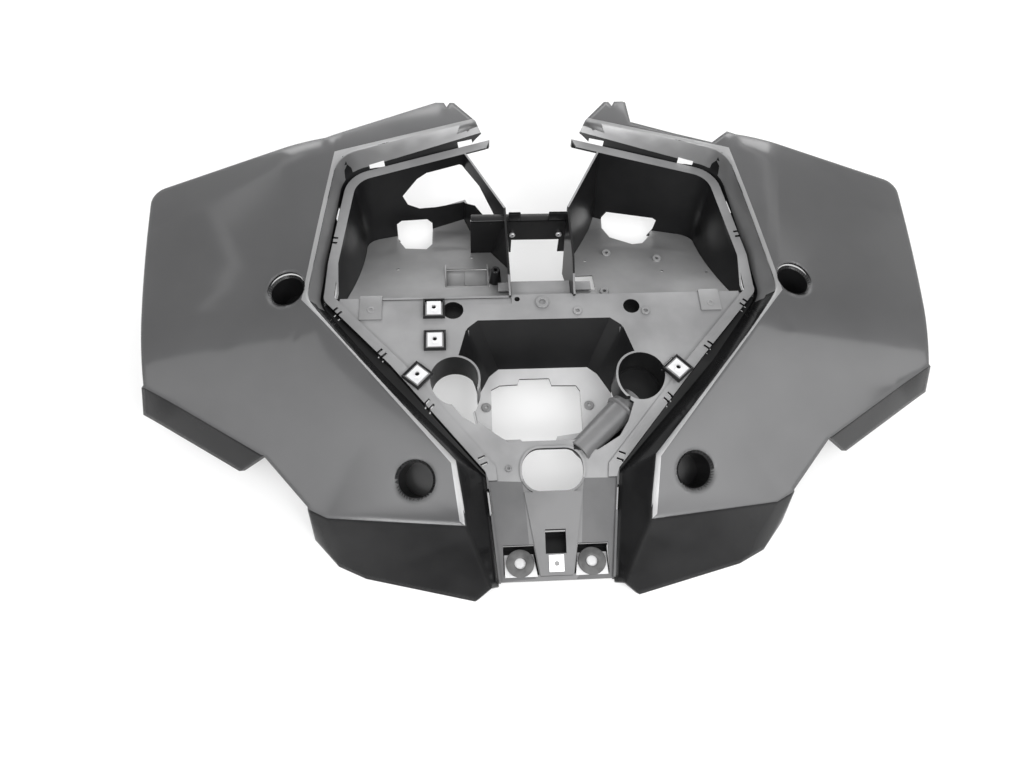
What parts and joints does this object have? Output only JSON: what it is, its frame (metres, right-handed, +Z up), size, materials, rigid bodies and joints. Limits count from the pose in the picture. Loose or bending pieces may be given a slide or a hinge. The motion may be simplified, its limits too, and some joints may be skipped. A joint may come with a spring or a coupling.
{
  "type": "front fairing panel",
  "caption": "Wide moulded front fairing of a utility quad bike: two glossy fender wings round a sunk lid rim, storage wells, a deep central pocket and a narrow nose.",
  "frame": {"origin": "middle of the footprint, on the ground that the nose and the wells stand on", "axes": "+X across the vehicle to the right of the picture, +Y to the rear of the vehicle, +Z up"},
  "size_m": [1.1602, 0.758, 0.1685],
  "materials": {
    "gloss_body": "gloss",
    "matte_panel": "matte",
    "rubber": "matte",
    "zinc_steel": "satin"
  },
  "bodies": {
    "root": {"fairing_body": "gloss_body", "right_floor_panel": "matte_panel", "left_floor_panel": "matte_panel", "right_grommet": "rubber", "left_grommet": "rubber", "rear_boss_clip_nut": "zinc_steel", "front_boss_clip_nut": "zinc_steel", "left_side_clip_nut": "zinc_steel", "right_side_clip_nut": "zinc_steel", "nose_clip_nut": "zinc_steel"}
  },
  "joints": []
}
